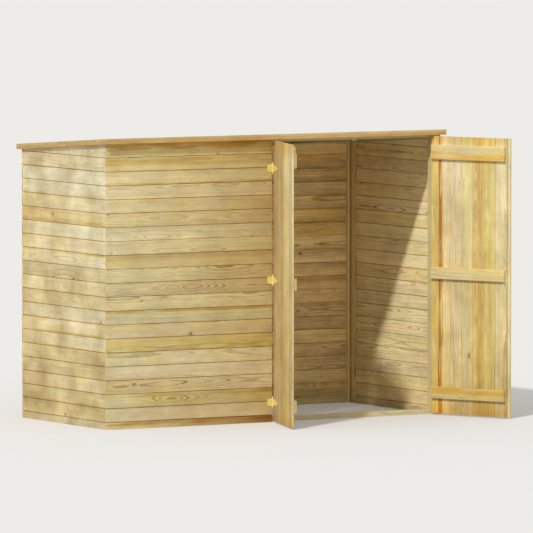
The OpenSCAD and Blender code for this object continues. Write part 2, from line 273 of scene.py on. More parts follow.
class ShelterWoodSettings(bpy.types.PropertyGroup):
    """Colours and grain of the pressure-treated pine."""

    early_wood: colour_property(
        "Early Wood", "Pale wood between the growth rings", (211, 196, 154))
    late_wood: colour_property(
        "Late Wood", "Darker wood of the growth rings", (144, 114, 58))
    heartwood: colour_property(
        "Heartwood", "Orange brown wood near the pith", (184, 146, 86))
    green_stain: colour_property(
        "Green Stain", "Greenish tone left by the treatment", (197, 187, 134))
    pink_stain: colour_property(
        "Pink Stain", "Pinkish tone of some boards", (208, 184, 148))
    yellow_stain: colour_property(
        "Yellow Stain", "Yellow tone left by the treatment", (214, 190, 100))
    band: colour_property(
        "Band", "Resin band along a board", (186, 152, 78))
    knot: colour_property(
        "Knot", "Wood of a knot", (116, 86, 44))
    ring_width: length_property(
        "Ring Width", "Distance between growth rings", 0.0046, 0.001, 0.01)
    knot_spacing: length_property(
        "Knot Spacing", "Distance between knots", 0.45, 0.05, 1.0)
    knot_size: length_property(
        "Knot Size", "Radius of a large knot", 0.0095, 0.002, 0.03)


class ShelterMetalSettings(bpy.types.PropertyGroup):
    """Colours of the plated fittings."""

    hinge_plate: colour_property(
        "Hinge Plating", "Yellow zinc on the hinges", (238, 222, 140))
    hinge_dull: colour_property(
        "Hinge Dull Plating", "Duller patches on the hinges", (216, 192, 104))
    bolt_plate: colour_property(
        "Bolt Plating", "Zinc on the bolt", (238, 224, 172))
    bolt_dull: colour_property(
        "Bolt Dull Plating", "Duller patches on the bolt", (190, 168, 112))
    nail: colour_property(
        "Nail", "Steel of the nails", (146, 126, 92))


class ShelterStageSettings(bpy.types.PropertyGroup):
    """Strengths of the lights and the floor."""

    key: strength_property(
        "Key Light", "Strength of the soft key light", 2.42, 20.0)
    sky: strength_property(
        "Sky", "Strength of the even light from all round", 0.73, 5.0)
    floor: colour_property(
        "Floor", "Colour of the floor", (200, 198, 195))
    floor_glow: strength_property(
        "Floor Glow", "Paleness added to the floor as it is seen", 0.12, 1.0)


# Shader wiring

class Wires:
    """Adds shader nodes to a tree and joins them. Every value is a socket or a constant."""

    def __init__(self, tree):
        self.tree = tree

    def node(self, kind, inputs=None, **values):
        """New node with its own values, and with inputs by name or number."""
        made = self.tree.nodes.new("ShaderNode" + kind)
        for key, value in values.items():
            setattr(made, key, value)
        for key, value in (inputs or {}).items():
            self.feed(made.inputs[key], value)
        return made

    def feed(self, socket, value):
        if isinstance(value, bpy.types.NodeSocket):
            self.tree.links.new(value, socket)
        else:
            socket.default_value = value

    def math(self, operation, *values, clamp=False):
        return self.node("Math", dict(enumerate(values)), operation=operation,
                         use_clamp=clamp).outputs[0]

    def total(self, first, *others):
        for value in others:
            first = self.math("ADD", first, value)
        return first

    def times(self, first, *others):
        for value in others:
            first = self.math("MULTIPLY", first, value)
        return first

    def swing(self, value, amount):
        """A noise value around 0.5, turned into one around 0 and scaled."""
        return self.times(self.math("SUBTRACT", value, 0.5), amount)

    def vector(self, x=0.0, y=0.0, z=0.0):
        return self.node("CombineXYZ", {"X": x, "Y": y, "Z": z}).outputs[0]

    def split(self, vector):
        return self.node("SeparateXYZ", {"Vector": vector}).outputs[:3]

    def noise(self, vector, scale=1.0, detail=2.0, roughness=0.5, dimensions="3D", output="Fac"):
        return self.node("TexNoise", {
            "Vector": vector, "Scale": scale, "Detail": detail, "Roughness": roughness,
        }, noise_dimensions=dimensions).outputs[output]

    def spread(self, *pairs, **values):
        """Noise over two or three values, each one multiplied by the number it comes with."""
        vector = self.vector(*(self.times(value, factor) for value, factor in pairs))
        return self.noise(vector, dimensions="{}D".format(len(pairs)), **values)

    def step(self, value, low, high, start=0.0, end=1.0):
        """Smooth change from start to end while value goes from low to high."""
        return self.node("MapRange", {
            "Value": value, "From Min": low, "From Max": high, "To Min": start, "To Max": end,
        }, interpolation_type="SMOOTHSTEP").outputs[0]

    def mix(self, factor, first, second, blend="MIX"):
        return self.node("Mix", {0: factor, 6: first, 7: second}, data_type="RGBA",
                         blend_type=blend).outputs[2]

    def tint(self, colour, by, share=1.0):
        """A colour multiplied by another one."""
        return self.mix(share, colour, by, "MULTIPLY")


def new_group(name, vectors, colours, numbers):
    """Shader node group with named inputs. Returns its wires, inputs and outputs."""
    tree = bpy.data.node_groups.new(name, "ShaderNodeTree")
    for kind, labels in (("Vector", vectors), ("Color", colours), ("Float", numbers)):
        for label in labels:
            tree.interface.new_socket(
                name=label, in_out="INPUT", socket_type="NodeSocket" + kind)
    for label, kind in (("Color", "Color"), ("Roughness", "Float"), ("Height", "Float")):
        tree.interface.new_socket(name=label, in_out="OUTPUT", socket_type="NodeSocket" + kind)
    start = tree.nodes.new("NodeGroupInput")
    end = tree.nodes.new("NodeGroupOutput")
    return Wires(tree), start.outputs, end.inputs


def build_pine_group():
    """Pine in the round: growth rings about a pith, knots, heartwood, streaks and stains."""
    wires, given, result = new_group(
        "Pine Grain",
        ("Grain", "Board", "Tint", "Stripe", "Mark", "Place"),
        ("Early Wood", "Late Wood", "Heartwood", "Green Stain", "Pink Stain", "Yellow Stain",
         "Band", "Knot"),
        ("End Grain", "Ring Width", "Ring Contrast", "Streaks", "Stain", "Knot Spacing",
         "Knot Size", "Weather"))
    calc, times, total, swing = wires.math, wires.times, wires.total, wires.swing
    step, spread, mix, tint = wires.step, wires.spread, wires.mix, wires.tint
    along, across, deep = wires.split(given["Grain"])
    seed, tone, heart = wires.split(given["Board"])
    stripe_at, stripe_half, stripe_share = wires.split(given["Stripe"])
    mark_along, mark_across, mark_size = wires.split(given["Mark"])
    draw = wires.node("TexWhiteNoise", {"W": times(seed, 611.0)}, noise_dimensions="1D")
    lean, lean_yellow, plainness = wires.split(draw.outputs["Color"])

    # The pith wanders along the log
    drift = wires.split(spread((along, 1.3), (seed, 97.0), output="Color"))
    pith_across = total(across, swing(drift[0], 0.036))
    pith_deep = total(deep, swing(drift[1], 0.036))

    # Knots, longer along the grain
    spacing = given["Knot Spacing"]
    cell = wires.vector(
        calc("DIVIDE", along, spacing),
        total(calc("DIVIDE", across, times(spacing, 0.8)), times(seed, 31.0)))
    spots = wires.node("TexVoronoi", {"Vector": cell, "Scale": 1.0}, voronoi_dimensions="2D")
    luck, knot_tone = wires.split(spots.outputs["Color"])[:2]
    radius = times(step(luck, 0.65, 1.0, 0.0001, 1.0), given["Knot Size"])
    distance = times(spots.outputs["Distance"], spacing)

    # A mark is one more knot, or an eye of rings where its size is negative
    off_along = calc("SUBTRACT", along, mark_along)
    off_across = calc("SUBTRACT", across, mark_across)
    mark_distance = calc("SQRT", total(
        times(off_along, off_along, 0.5), times(off_across, off_across)))
    mark_radius = calc("MAXIMUM", mark_size, 0.00001)
    chosen = calc("LESS_THAN", calc("DIVIDE", mark_distance, mark_radius),
                  calc("DIVIDE", distance, radius))
    distance = total(distance, times(chosen, calc("SUBTRACT", mark_distance, distance)))
    radius = total(radius, times(chosen, calc("SUBTRACT", mark_radius, radius)))
    luck = calc("MAXIMUM", luck, chosen)
    eye = times(calc("MINIMUM", mark_size, 0.0),
                calc("EXPONENT", times(off_along, off_along, -34.0)))

    ragged = wires.noise(given["Grain"], scale=160.0)
    near = total(calc("DIVIDE", distance, radius), swing(ragged, 0.5))
    knot_mask = step(near, 0.8, 1.12, 1.0, 0.0)
    rim = times(step(near, 0.62, 0.95), step(near, 1.0, 1.3, 1.0, 0.0))
    halo = calc("EXPONENT", times(near, near, -0.16))
    bulge = times(halo, radius, 1.7)

    # Growth rings: slow darkening and a sharp edge
    reach = calc("SQRT", total(times(pith_across, pith_across), times(pith_deep, pith_deep)))
    reach = total(reach, bulge, eye)
    uneven = spread((reach, 60.0), (seed, 13.0), detail=1.0)
    fine = spread((along, 14.0), (across, 260.0), (deep, 260.0))
    turns = total(calc("DIVIDE", reach, given["Ring Width"]), swing(uneven, 4.0),
                  swing(fine, 0.5))
    phase = calc("FRACT", turns)
    late = times(step(phase, 0.55, 0.92), step(phase, 0.94, 1.0, 1.0, 0.0))
    year = wires.node("TexWhiteNoise", {"Vector": wires.vector(calc("FLOOR", turns), seed)},
                      noise_dimensions="2D")
    strong = times(
        calc("MULTIPLY_ADD", year.outputs["Value"], 0.7, 0.45),
        total(calc("MULTIPLY_ADD", plainness, 0.6, 0.4), times(eye, -130.0)))
    late_share = calc("MULTIPLY", times(late, strong), given["Ring Contrast"], clamp=True)

    # Fibres, streaks, blotches and flecks along the grain
    fibre = spread((along, 22.0), (across, 900.0), (deep, 900.0), detail=3.0, roughness=0.6)
    depth = calc("MULTIPLY_ADD", seed, 53.0, times(deep, 34.0))
    broad = spread((along, 0.9), (across, 34.0), (depth, 1.0), detail=3.0)
    narrow = spread((along, 5.0), (across, 170.0), (deep, 170.0))
    blotches = spread((along, 8.0), (across, 26.0), (seed, 37.0), detail=3.0, roughness=0.6)
    flecks = spread((along, 40.0), (across, 240.0), (deep, 240.0), roughness=0.6)

    # Pale wood, rings, heartwood and the treatment's stains
    colour = mix(late_share, given["Early Wood"], given["Late Wood"])
    heart_edge = total(reach, swing(broad, 0.03))
    heart_share = times(step(heart_edge, 0.024, 0.031, 1.0, 0.0), heart)
    hearty = mix(late_share, given["Heartwood"],
                 tint(given["Heartwood"], given["Late Wood"], 0.55))
    colour = mix(heart_share, colour, hearty)
    patches = wires.split(spread((along, 5.0), (across, 16.0), (seed, 71.0), output="Color"))
    stains = (("Green Stain", swing(lean, 0.5), 0.42, 0.78),
              ("Pink Stain", swing(lean, -0.5), 0.42, 0.78),
              ("Yellow Stain", swing(lean_yellow, 0.4), 0.5, 0.8))
    for patch, (label, more, low, high) in zip(patches, stains):
        share = times(step(total(patch, more), low, high), given["Stain"])
        colour = mix(share, colour, given[label])

    # A resin band along the board, and the level of light and dark
    wander = spread((along, 3.0), (seed, 19.0))
    fade = spread((along, 4.0), (across, 60.0), (seed, 29.0))
    off_stripe = calc("ABSOLUTE", total(
        across, times(stripe_at, -1.0), times(swing(wander, 1.7), stripe_half)))
    stripe = calc(
        "MULTIPLY", times(stripe_share, step(fade, 0.3, 0.7, 0.1, 1.5)),
        step(off_stripe, times(stripe_half, 0.5), times(stripe_half, 1.3), 1.0, 0.0), clamp=True)
    colour = mix(stripe, colour, given["Band"])
    level = total(
        1.0, times(tone, 0.12),
        *(times(swing(pattern, amount), given["Streaks"]) for pattern, amount in (
            (broad, 1.0), (narrow, 0.6), (blotches, 1.3), (flecks, 0.9))),
        swing(fibre, 0.14))
    colour = tint(tint(colour, wires.vector(level, level, level)), given["Tint"])

    # Weather marks run across the boards, with more of them near the ground.
    # On the side boards they are strong and are also painted shadows of leaves.
    weather = wires.noise(given["Place"], scale=4.5, detail=3.0, roughness=0.6)
    height = wires.split(given["Place"])[2]
    damp_and_leaf_shadow = times(given["Weather"],
                 total(swing(weather, 2.2), step(height, 0.0, 1.0, 0.35, 0.0)))
    colour = tint(colour, wires.vector(*(
        calc("MULTIPLY_ADD", damp_and_leaf_shadow, -share, 1.0) for share in (0.40, 0.46, 0.58))))

    # Knots with fine rings, a darker rim and warmer wood around
    knot_level = calc("MULTIPLY_ADD", calc("FRACT", times(distance, 620.0)), 0.22,
                      calc("MULTIPLY_ADD", knot_tone, 0.9, 0.75))
    knot_colour = tint(given["Knot"], wires.vector(knot_level, knot_level, knot_level))
    around = times(halo, times(luck, 0.42))
    colour = mix(around, colour, tint(colour, given["Heartwood"], 0.8))
    colour = mix(times(knot_mask, 0.85), colour, knot_colour)
    colour = mix(times(rim, 0.5), colour, tint(given["Knot"], (0.5, 0.42, 0.36, 1.0)))

    # Sawn ends drink in the treatment and are darker
    colour = mix(times(given["End Grain"], 0.4), colour, tint(colour, (0.78, 0.70, 0.58, 1.0)))
    wires.feed(result["Color"], colour)
    wires.feed(result["Roughness"], total(
        0.6, swing(fibre, 0.2), times(late_share, -0.08), times(given["End Grain"], 0.18),
        times(knot_mask, -0.1)))
    wires.feed(result["Height"], total(
        times(fibre, 0.45), times(late_share, 0.35), times(rim, -0.5), times(narrow, 0.2)))


def build_plating_group():
    """Thin plating on steel, with duller patches, fine scratches and dull specks."""
    wires, given, result = new_group("Plating", ("Place",), ("Bright", "Dull"), ("Patchiness",))
    place = given["Place"]
    patches = wires.noise(place, scale=60.0, detail=4.0, roughness=0.6)
    specks = wires.noise(place, scale=900.0)
    rub = wires.node("Mapping", {"Vector": place, "Scale": (1.0, 1.0, 14.0)})
    scratches = wires.noise(rub.outputs[0], scale=140.0, detail=3.0, roughness=0.7)
    dull = wires.times(wires.step(patches, 0.38, 0.68), given["Patchiness"])
    colour = wires.mix(dull, given["Bright"], given["Dull"])
    colour = wires.mix(wires.step(specks, 0.6, 0.8, 0.0, 0.25), colour, given["Dull"])
    wires.feed(result["Color"], colour)
    wires.feed(result["Roughness"], wires.total(
        0.34, wires.times(dull, 0.2), wires.swing(scratches, 0.24)))
    wires.feed(result["Height"], wires.total(scratches, wires.times(specks, 0.5)))


def new_material(name):
    """Empty material with a Principled shader. Returns the material, wires and shader."""
    material = bpy.data.materials.new(name)
    material.use_nodes = True
    material.node_tree.nodes.clear()
    wires = Wires(material.node_tree)
    shader = wires.node("BsdfPrincipled")
    wires.node("OutputMaterial", {"Surface": shader.outputs[0]})
    return material, wires, shader


def place_group(wires, shader, group, values, depth):
    """A shader group in a material, with its values, joined to the Principled shader.

    depth is how deep its bumps are, in metres.
    """
    made = wires.node("Group", node_tree=bpy.data.node_groups[group])
    for label, value in values.items():
        wires.feed(made.inputs[label], (*value, 1.0) if hasattr(value, "__len__") else value)
    wires.feed(made.inputs["Place"], wires.node("TexCoord").outputs["Object"])
    wires.feed(shader.inputs["Base Color"], made.outputs["Color"])
    wires.feed(shader.inputs["Roughness"], made.outputs["Roughness"])
    bump = wires.node("Bump", {
        "Distance": depth, "Strength": 1.0, "Height": made.outputs["Height"]})
    wires.feed(shader.inputs["Normal"], bump.outputs[0])
    return made


def label_of(name):
    """Label of a shader input from the name of its setting or attribute."""
    return name.replace("_", " ").title()


def pine_material(name, ring_contrast=1.0, streaks=0.28, stain=0.5, weather=0.3, **changes):
    """Pine finish of one kind of timber, with changes to the usual wood settings."""
    wood = bpy.context.scene.shelter_wood
    values = {setting: getattr(wood, setting) for setting in ShelterWoodSettings.__annotations__}
    values.update(ring_contrast=ring_contrast, streaks=streaks, stain=stain, weather=weather,
                  **changes)
    material, wires, shader = new_material(name)
    group = place_group(wires, shader, "Pine Grain",
                        {label_of(setting): value for setting, value in values.items()},
                        depth=0.0004)
    for name, output in (*((vector, "Vector") for vector in BOARD_VECTORS), ("end_grain", "Fac")):
        source = wires.node("Attribute", attribute_name=name)
        wires.feed(group.inputs[label_of(name)], source.outputs[output])
    shader.inputs["Specular IOR Level"].default_value = 0.3


def plating_material(name, bright, dull, patchiness, metallic):
    """Plated steel for hinges, bolt, nails and screws."""
    material, wires, shader = new_material(name)
    place_group(wires, shader, "Plating",
                {"Bright": bright, "Dull": dull, "Patchiness": patchiness}, depth=0.00003)
    shader.inputs["Metallic"].default_value = metallic


# Timber shapes

def timber_axes(corner, u, v, w):
    """Matrix from a timber's own axes u, v and w, with its corner, all in metres."""
    return Matrix((*zip(u, v, w, corner), (0.0, 0.0, 0.0, 1.0)))


def wall_place(x, y, z, u, v, w):
    """Place of a timber in the shelter, with x, y, z in millimetres from the wall corner."""
    return timber_axes([start + at * MM for start, at in zip(CORNER, (x, y, z))], u, v, w)


def wall_point(x, y, z):
    return CORNER + Vector((x, y, z)) * MM


def opposite(axis):
    return tuple(-value for value in axis)


def roof_seat(y):
    """Height under the roof boards at a distance y behind the front wall's face."""
    return ROOF_TOP - (y - ROOF_FRONT) * ROOF_FALL - ROOF_BOARD_T - SEAT_GAP


def roof_cut():
    """The plane under the roof boards."""
    return CORNER + Vector((0.0, 0.0, roof_seat(0.0))) * MM, SLOPE


def door_place(side):
    """Matrix from a closed left-hand leaf on its pin to a door as modelled, open."""
    pin = Matrix.Translation(CORNER + Vector((PIN_X[side], -PIN_OUT, 0.0)) * MM)
    turn = Matrix.Rotation(math.radians(DOOR_OPEN[side]), 4, "Z")
    if side == "left":
        return pin @ turn
    return pin @ turn @ Matrix.Scale(-1.0, 4, Vector(ALONG_X))


def leaf_place(side, x, y, z, u, v, w):
    """Place of a timber on a door, with x, y, z in the door's millimetres."""
    return door_place(side) @ timber_axes((x * MM, y * MM, z * MM), u, v, w)


def rounded_outline(width, depth, arris):
    """Section of a planed timber with rounded edges, in metres."""
    middle = ARC_MIDDLE * arris
    corner = [(0.0, arris), (middle, middle), (arris, 0.0)]
    low = corner + [(width - v, w) for v, w in corner[::-1]]
    return low + [(v, depth - w) for v, w in low[::-1]]


def board_outline(width, thickness, low_joint, high_joint):
    """Section of a tongue-and-groove board, in metres, with its outer face at 0.

    A joint is given by its share of the usual gap. A side without a joint is planed flat.
    """
    timber = bpy.context.scene.shelter_timber
    bevel = timber.joint_bevel
    soft = EDGE_SOFT
    groove_low = thickness * GROOVE_FROM
    groove_high = thickness * GROOVE_TO
    low_gap, high_gap = (timber.joint_gap / 2 * joint for joint in (low_joint, high_joint))
    low_back, high_back = (timber.back_bevel * (0.3 + 0.7 * joint)
                           for joint in (low_joint, high_joint))
    edge = width - high_gap
    groove = [
        (low_back + soft, thickness), (low_gap, thickness - low_back),
        (low_gap, groove_high + SLACK), (GROOVE_L, groove_high),
        (GROOVE_L, groove_low), (low_gap, groove_low - SLACK),
        (low_gap, bevel - low_gap), (bevel - soft, soft * 0.8), (bevel + soft, 0.0),
    ]
    tongue = [
        (width - bevel - soft, 0.0), (width - bevel + soft, soft * 0.8),
        (edge, bevel - high_gap), (edge, groove_low + SLACK),
        (edge + TONGUE_L, groove_low + 2 * SLACK), (edge + TONGUE_L, groove_high - 2 * SLACK),
        (edge, groove_high - SLACK), (edge, thickness - high_back),
        (width - high_back - soft, thickness),
    ]
    low_flat = [(soft, thickness), (0.0, thickness - soft), (0.0, soft * 2), (soft * 2, 0.0)]
    high_flat = [(width - v, w) for v, w in low_flat[::-1]]
    return (groove if low_joint else low_flat) + (tongue if high_joint else high_flat)


def slice_mesh(work, point, direction, **values):
    """Cut through the whole mesh. Returns the edges and corners on the cutting plane."""
    return bmesh.ops.bisect_plane(
        work, geom=work.verts[:] + work.edges[:] + work.faces[:], plane_co=point,
        plane_no=direction, **values)["geom_cut"]


def timber_mesh(outline, length, place, cuts, soaked):
    """Bmesh of a timber from its section, cut off by planes and, where soaked, near its ends."""
    work = bmesh.new()
    near = [work.verts.new((0.0, v, w)) for v, w in outline]
    far = [work.verts.new((length, v, w)) for v, w in outline]
    work.faces.new(near)
    work.faces.new(far[::-1])
    count = len(outline)
    for i in range(count):
        j = (i + 1) % count
        work.faces.new((near[j], near[i], far[i], far[j]))
    for point, direction in cuts:
        found = slice_mesh(
            work, place.inverted() @ point,
            (place.to_3x3().transposed() @ direction).normalized(), clear_outer=True, dist=1e-7)
        edges = [e for e in found if isinstance(e, bmesh.types.BMEdge)]
        if edges:
            bmesh.ops.edgeloop_fill(work, edges=edges)
    for at in (SOAK_L, length - SOAK_L) if soaked else ():
        slice_mesh(work, (at, 0.0, 0.0), ALONG_X)
    bmesh.ops.recalc_face_normals(work, faces=work.faces[:])
    work.normal_update()
    work.verts.index_update()
    return work


class Pile:
    """Boards or timbers that stand for one CAD node, gathered with their grain in one mesh.

    tint is for the whole piece, inner for the faces that point along w, and soak for the
    timbers' ends. edge_bands is the share of boards that get a resin band at their lower
    edge. spread is how much the boards differ in tone.
    """

    def __init__(self, node, tint="plain", inner="plain", soak=None, edge_bands=0.0,
                 spread=1.0):
        self.node = node
        self.name = "timber_" + node
        self.soak = soak
        self.spread = spread
        self.tint = TINTS[tint]
        self.inner = TINTS[inner]
        self.edge_bands = edge_bands
        self.dice = random.Random(self.name)
        self.slants = random.Random("slants of " + self.name)
        self.points = []
        self.faces = []
        self.ends = []
        self.vectors = {name: [] for name in BOARD_VECTORS}

    def draw(self, look, width):
        """Where a timber lies in its log, its board, stripe and mark values and its warmth.

        Every value is drawn, also where the look gives one, so that looks don't change the
        timbers that follow.
        """
        dice = self.dice
        shift = Vector((dice.uniform(0.0, LOG_L), -dice.uniform(*PITH_ACROSS) * width,
                        dice.choice((-1.0, 1.0)) * dice.uniform(*PITH_DEPTH)))
        tone = self.spread * max(-1.0, min(1.0, dice.gauss(0.0, TONE_SPREAD)))
        heart = dice.choice(HEART_SHARES)
        board = (dice.random(), look.get("tone", tone), look.get("heart", heart))
        warmth = dice.uniform(-WARMTH, WARMTH)
        band = [dice.uniform(*ends) for ends in BANDS]
        if dice.random() > self.edge_bands:
            band = NOTHING
        mark = look.get("mark", NOTHING)
        if mark[2] < 0.0:
            shift.y = -mark[1] * MM
            shift.z = EYE_DEPTH
        stripe = look.get("stripe", band)
        stripe = (stripe[0] * MM + shift.y, stripe[1] * MM, stripe[2])
        mark = (mark[0] * MM + shift.x, mark[1] * MM + shift.y, mark[2] * MM)
        return shift, {"board": board, "stripe": stripe, "mark": mark}, warmth

    def add(self, outline, length, place, cuts=(), look=None, joints=(0.0, 0.0)):
        """One timber from its section, in metres, and its length, cut by planes.

        Each cut is a point and a direction in the shelter, and takes off what lies that way.
        A look is made by tinted. joints tells which of the two sides along v meet another
        board, by their share of the usual gap.
        """
        look = look or {}
        work = timber_mesh(outline, length, place, cuts, self.soak)
        width = max(v for v, w in outline)
        shift, values, warmth = self.draw(look, width)
        start = look.get("from", "plain")
        ends = (TINTS[start], TINTS[look.get("to", start)])
        base_tint = tuple(t * w for t, w in zip(self.tint, (1.0 + warmth, 1.0, 1.0 - warmth)))
        slant = look.get("slant", self.spread * self.slants.uniform(-SLANT, SLANT))
        flip = place.to_3x3().determinant() < 0.0
        base = len(self.points)
        self.points += [place @ v.co for v in work.verts]
        for face in work.faces:
            corners = list(face.verts)
            if flip:
                corners.reverse()
            x, y, z = face.normal
            # Inner faces take the piece's inside tint, which on the walls is painted light
            side = self.inner if z > 0.9 else TINTS["plain"]
            # Faces in a joint are darker, and more so in an open one: dirt and painted shade in
            # the gap
            shade = joints[0] if y < -0.3 else joints[1] if y > 0.3 else 0.0
            if shade:
                shade = min(1.0, 0.25 + shade)
                side = tuple(1.0 + (part - 1.0) * shade for part in TINTS["joint"])
            self.faces.append([base + v.index for v in corners])
            self.ends += [1.0 if abs(x) > 0.6 else 0.0] * len(corners)
            for spot in (v.co for v in corners):
                share = spot.x / length
                lift = 1.0 + slant * (spot.y / width - 0.5)
                soak = TINTS[self.soak if self.soak and not 0.001 < share < 0.999 else "plain"]
                values["grain"] = spot + shift
                values["tint"] = tuple(
                    b * s * e * lift * (one + (two - one) * share)
                    for b, s, e, one, two in zip(base_tint, side, soak, *ends))
                for name, rows in self.vectors.items():
                    rows.append(values[name])
        work.free()

    def build(self, material, body, slot):
        """The piece as an object that rides on a body."""
        mesh = bpy.data.meshes.new(self.name)
        mesh.from_pydata(self.points, [], self.faces)
        layer = mesh.attributes.new("end_grain", "FLOAT", "CORNER")
        layer.data.foreach_set("value", self.ends)
        for name, rows in self.vectors.items():
            layer = mesh.attributes.new(name, "FLOAT_VECTOR", "CORNER")
            layer.data.foreach_set("vector", [part for row in rows for part in row])
        finish_piece(mesh, material, body, slot, self.node)


def finish_piece(mesh, material, body, slot, *nodes, smooth=False):
    """Object for a finished mesh, with its material and body, shaded round if smooth. Its slot is
    not used.
    """
    mesh.validate()
    if smooth:
        mesh.polygons.foreach_set("use_smooth", [True] * len(mesh.polygons))
        mesh.set_sharp_from_angle(angle=SMOOTH_ANGLE)
    mesh.materials.append(bpy.data.materials[material])
    made = bpy.data.objects.new(mesh.name, mesh)
    bpy.context.scene.collection.objects.link(made)
    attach(made, body)
    if nodes:
        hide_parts(*nodes)


def tinted(start="plain", end=None, **values):
    """Look of a board: its tints from one end to the other, and any of these values.

    tone is how pale it is and heart its share of heartwood. stripe is a resin band's middle,
    half width and strength, and mark a knot's or an eye's place along and across and its
    radius, in millimetres. joint is the share of the usual gap on the board's low side, and
    slant how much paler its high side is.
    """
    return {"from": start, "to": end or start, **values}


def lay_boards(pile, start, end, first, length, place, thickness=BOARD_T, cuts=(), looks=None):
    """Tongue-and-groove boards side by side from start to end, in millimetres along v.

    first is the first joint. place is at v = 0. looks are by a board's number from the start.
    """
    edges = [start]
    joint = first
    while joint < end - NARROWEST:
        if joint > start + NARROWEST:
            edges.append(joint)
        joint += COVER
    edges.append(end)
    looks = looks or {}
    joints = [looks.get(i, {}).get("joint", pile.dice.uniform(*JOINT_SHARES))
              for i in range(len(edges))]
    joints[0] = joints[-1] = 0.0
    for i, (low, high) in enumerate(zip(edges[:-1], edges[1:])):
        outline = board_outline((high - low) * MM, thickness * MM, joints[i], joints[i + 1])
        warp = pile.dice.uniform(0.0, WARP)
        pile.add(outline, length * MM,
                 place @ Matrix.Translation((0.0, low * MM, warp)), cuts, looks.get(i),
                 joints[i:i + 2])


def lay_timber(pile, width, depth, length, place, cuts=()):
    """One planed timber, in millimetres."""
    arris = bpy.context.scene.shelter_timber.arris
    pile.add(rounded_outline(width * MM, depth * MM, arris), length * MM, place, cuts)


def stud(pile, x, y, width, depth):
    """Upright timber from the ground to the roof's slope. x and y are its front left corner."""
    lay_timber(pile, width, depth, ROOF_TOP, wall_place(x, y, 0.0, UP, ALONG_X, ALONG_Y),
               [roof_cut()])


def rail(pile, axis, start, end, side, width, height, low=False):
    """Timber from start to end along the axis X or Y, with side its place on the other one.

    It lies on the ground where low, or else under the roof boards.
    """
    lengthways = axis == "X"
    x, y = (start, side) if lengthways else (side, start)
    if low:
        axes = (ALONG_X, UP, ALONG_Y) if lengthways else (ALONG_Y, UP, ALONG_X)
        lay_timber(pile, height, width, end - start, wall_place(x, y, 0.0, *axes))
    else:
        axes = (ALONG_X, DOWN_ROOF) if lengthways else (DOWN_ROOF, ALONG_X)
        lay_timber(pile, width, height, end - start,
                   wall_place(x, y, roof_seat(y), *axes, opposite(UP)))


def lay_piece(finish, slot, node, timbers, body="root", **values):
    """A piece from its timbers, each one a function that lays it and what that is given."""
    pile = Pile(node, **values)
    for lay, *given in timbers:
        lay(pile, *given)
    pile.build(finish, body, slot)


def nail_heads(name, body, spots, radius, material, slot, cross=False):
    """Domed nail heads, or screw heads with a cross recess, at (point, direction) spots."""
    points = []
    faces = []
    rings = SCREW_RINGS if cross else NAIL_RINGS
    for point, direction in spots:
        direction = direction.normalized()
        side = direction.orthogonal().normalized()
        other = direction.cross(side)
        base = len(points)
        for share, rise in rings:
            for i in range(HEAD_SIDES):
                angle = 2.0 * math.pi * i / HEAD_SIDES
                reach = share
                if cross and share == rings[-1][0]:
                    reach = CROSS_REACH[i % 3]
                points.append(point + direction * rise * radius + radius * reach * (
                    side * math.cos(angle) + other * math.sin(angle)))
        if cross:
            points += [at - direction * CROSS_DEPTH * radius for at in points[-HEAD_SIDES:]]
        for low in range(base, len(points) - HEAD_SIDES, HEAD_SIDES):
            for i in range(HEAD_SIDES):
                j = (i + 1) % HEAD_SIDES
                faces.append((low + i, low + j, low + HEAD_SIDES + j, low + HEAD_SIDES + i))
        faces.append(tuple(range(len(points) - HEAD_SIDES, len(points))))
    mesh = bpy.data.meshes.new(name)
    mesh.from_pydata(points, [], faces)
    finish_piece(mesh, material, body, slot, smooth=True)


def nail_rows(joint, last):
    """Nails across boards side by side from a joint, two to a board, up to a last joint."""
    rows = []
    while joint < last:
        rows += [joint + share * COVER for share in NAIL_SHARES]
        joint += COVER
    return rows


def wall_rows(top):
    """Heights of the nails in the wall boards up to top."""
    return [NAIL_EDGE] + [z for z in nail_rows(FIRST_JOINT, top) if z < top - NAIL_EDGE]


# Looks of boards and ledges, by a board's number from the ground or the door's free edge

# Most front boards grow darker towards their right end, by the open left door, and the top board's
# band lies in the eave's shade: painted shade over the wood's own tones
FRONT_LOOKS = dict(enumerate((
    tinted("cream", "rust", stripe=(30.0, 18.0, 0.8)),
    tinted("plain", "tan", tone=0.2, joint=1.6),
    tinted("plain", "brown", mark=(430.0, 50.0, -17.0), tone=0.4, stripe=(70.0, 13.0, 0.6)),
    tinted("olive", "cream", tone=-0.4),
    tinted("pale", "cream", tone=0.2),
    tinted("pale", "pink", tone=0.3, joint=1.2),
    tinted("yellow", "ochre", tone=0.3, joint=1.2),
    tinted("pale", "tan", tone=0.2, joint=1.1),
    tinted("green", "olive", tone=0.0, stripe=(72.0, 8.0, 1.5)),
    tinted("green", "olive", tone=0.1, joint=1.5),
    tinted("green", "brown", tone=0.2, mark=(600.0, 44.0, -16.0)),
    tinted("green", "brown", tone=0.8, mark=(800.0, 76.0, -12.0), joint=1.1),
    tinted("olive", "brown", tone=0.5, joint=0.5),
    tinted("pale", "tan", tone=0.4, joint=1.6),
    tinted("cream", "tan", tone=0.3, joint=0.4),
    tinted("green", "brown", tone=0.2, joint=0.6),
    tinted("pale", "brown", tone=0.3, joint=1.5),
    tinted("cream", "tan", tone=0.4, joint=0.9),
    tinted("cream", "moss", tone=0.4, joint=1.9, stripe=(6.0, 8.0, 0.8)),
    tinted("yellow", "brown", tone=0.6, stripe=(50.0, 24.0, 0.5)),
    tinted("yellow", "orange", tone=0.7, mark=(750.0, 7.0, 3.5), stripe=(70.0, 30.0, 1.2)),
)))
